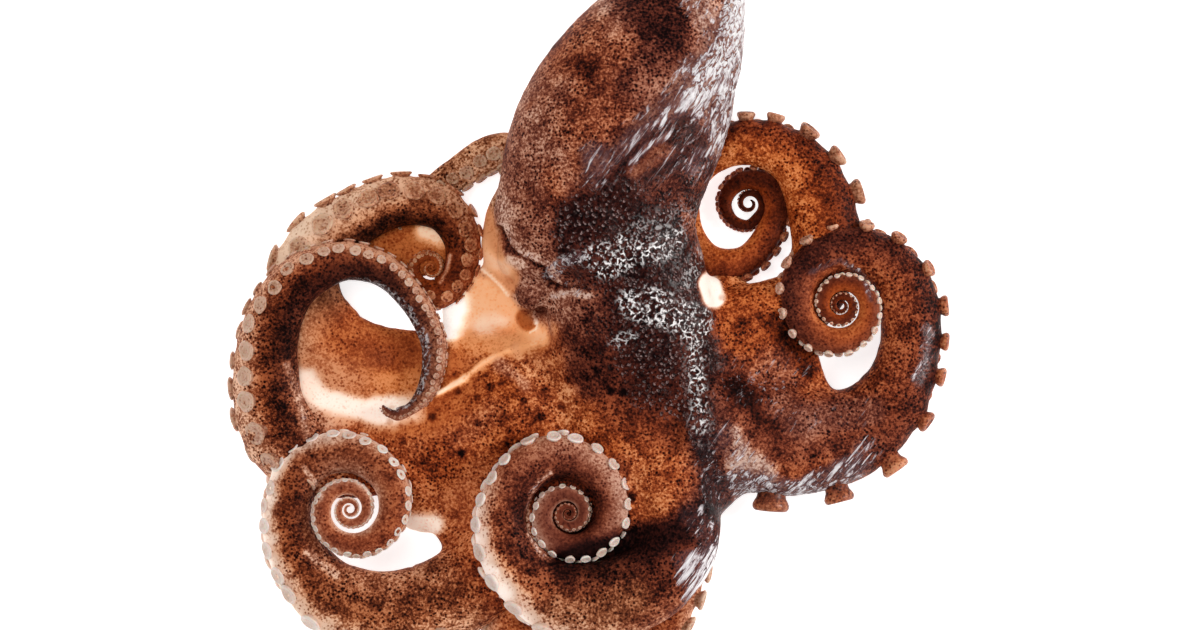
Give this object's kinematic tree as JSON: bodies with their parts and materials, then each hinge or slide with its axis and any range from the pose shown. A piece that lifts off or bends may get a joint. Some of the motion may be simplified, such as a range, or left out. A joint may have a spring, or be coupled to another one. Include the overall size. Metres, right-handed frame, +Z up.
{
  "type": "whole octopus",
  "caption": "Whole raw octopus lying flat: pointed oval mantle, head, and arms with suckers joined by web and curled into coils round the head.",
  "frame": {"origin": "middle of the arm crown, on the flat underside that lies on the table", "axes": "+Z up from the table, +Y towards the tip of the mantle, +X to the octopus's right as seen from above"},
  "size_m": [0.289, 0.3003, 0.0487],
  "materials": {
    "octopus_skin": "wet mottled skin, burnt brown with pale suckers"
  },
  "bodies": {
    "root": {"octopus": "octopus_skin"}
  },
  "joints": []
}
